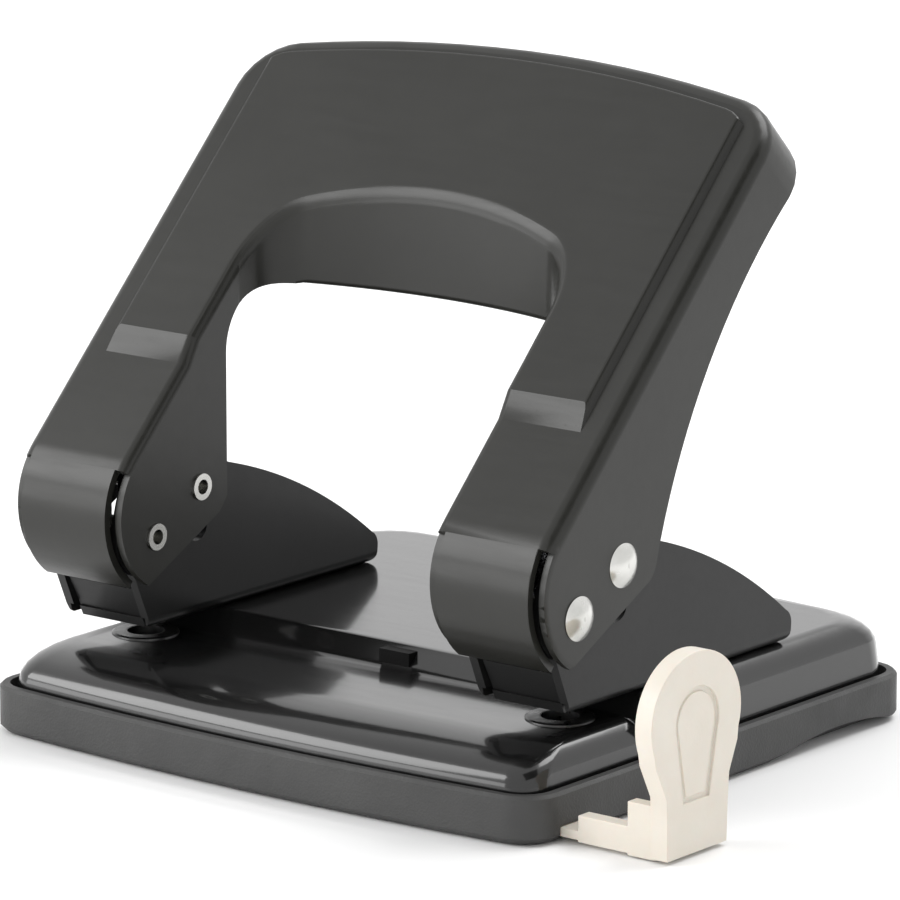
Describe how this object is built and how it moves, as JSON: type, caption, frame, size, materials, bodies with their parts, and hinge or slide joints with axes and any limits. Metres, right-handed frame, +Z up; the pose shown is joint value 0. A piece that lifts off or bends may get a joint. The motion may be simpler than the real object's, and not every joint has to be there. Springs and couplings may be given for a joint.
{
  "type": "hole_punch",
  "caption": "Desk hole punch with a sprung press handle, dies in a stamped base, clip-on chip tray and slide-out paper guide",
  "frame": {"origin": "middle of the chip tray's footprint, on the table", "axes": "+Z up; -Y is the side the paper comes in from, with the hood of the handle; +X is the side the paper guide slides out of"},
  "size_m": [0.1248, 0.1, 0.1013],
  "materials": {
    "gloss_enamel": "gloss black enamel",
    "handle_enamel": "satin black enamel",
    "black_enamel": "semi-gloss black enamel",
    "tray_plastic": "fine matt grain",
    "guide_plastic": "smooth moulded",
    "stop_plastic": "smooth moulded",
    "nickel": "nickel plated",
    "bright_steel": "zinc plated",
    "tool_steel": "ground"
  },
  "bodies": {
    "tray": {"chip_tray": "tray_plastic", "guide_clip": "bright_steel"},
    "base": {"base_plate": "gloss_enamel", "bracket_left": "black_enamel", "bracket_right": "black_enamel", "bracket_rivets": "bright_steel", "die_left": "bright_steel", "die_right": "bright_steel", "paper_stop": "stop_plastic", "pivot_pins": "nickel", "pivot_washers": "bright_steel", "spring_left": "bright_steel", "spring_right": "bright_steel", "spring_seats": "bright_steel"},
    "guide": {"paper_guide": "guide_plastic"},
    "handle": {"handle_shell": "handle_enamel", "drive_pins": "nickel"},
    "punch_l": {"punch_left": "tool_steel"},
    "punch_r": {"punch_right": "tool_steel"}
  },
  "joints": [
    {"name": "handle_pivot", "type": "hinge", "parent": "base", "child": "handle", "pos_m": [0, -0.034, 0.031], "axis": [-1, 0, 0], "range_deg": [0, 33], "stiffness_Nm_per_rad": 0.35, "springref_deg": -20.05},
    {"name": "punch_slide_left", "type": "slide", "parent": "base", "child": "punch_l", "axis": [0, 0, -1], "range_m": [0, 0.0067], "deforming": ["spring_left"]},
    {"name": "punch_slide_right", "type": "slide", "parent": "base", "child": "punch_r", "axis": [0, 0, -1], "range_m": [0, 0.0067], "deforming": ["spring_right"]},
    {"name": "tray_lift", "type": "slide", "parent": "tray", "child": "base", "axis": [0, 0, 1], "range_m": [0, 0.03]},
    {"name": "guide_slide", "type": "slide", "parent": "tray", "child": "guide", "axis": [1, 0, 0], "range_m": [-0.0025, 0.078]}
  ],
  "couplings": [
    {"joint": "punch_slide_left", "follows": "handle_pivot", "m_per_rad": 0.01155},
    {"joint": "punch_slide_right", "follows": "handle_pivot", "m_per_rad": 0.01155}
  ]
}
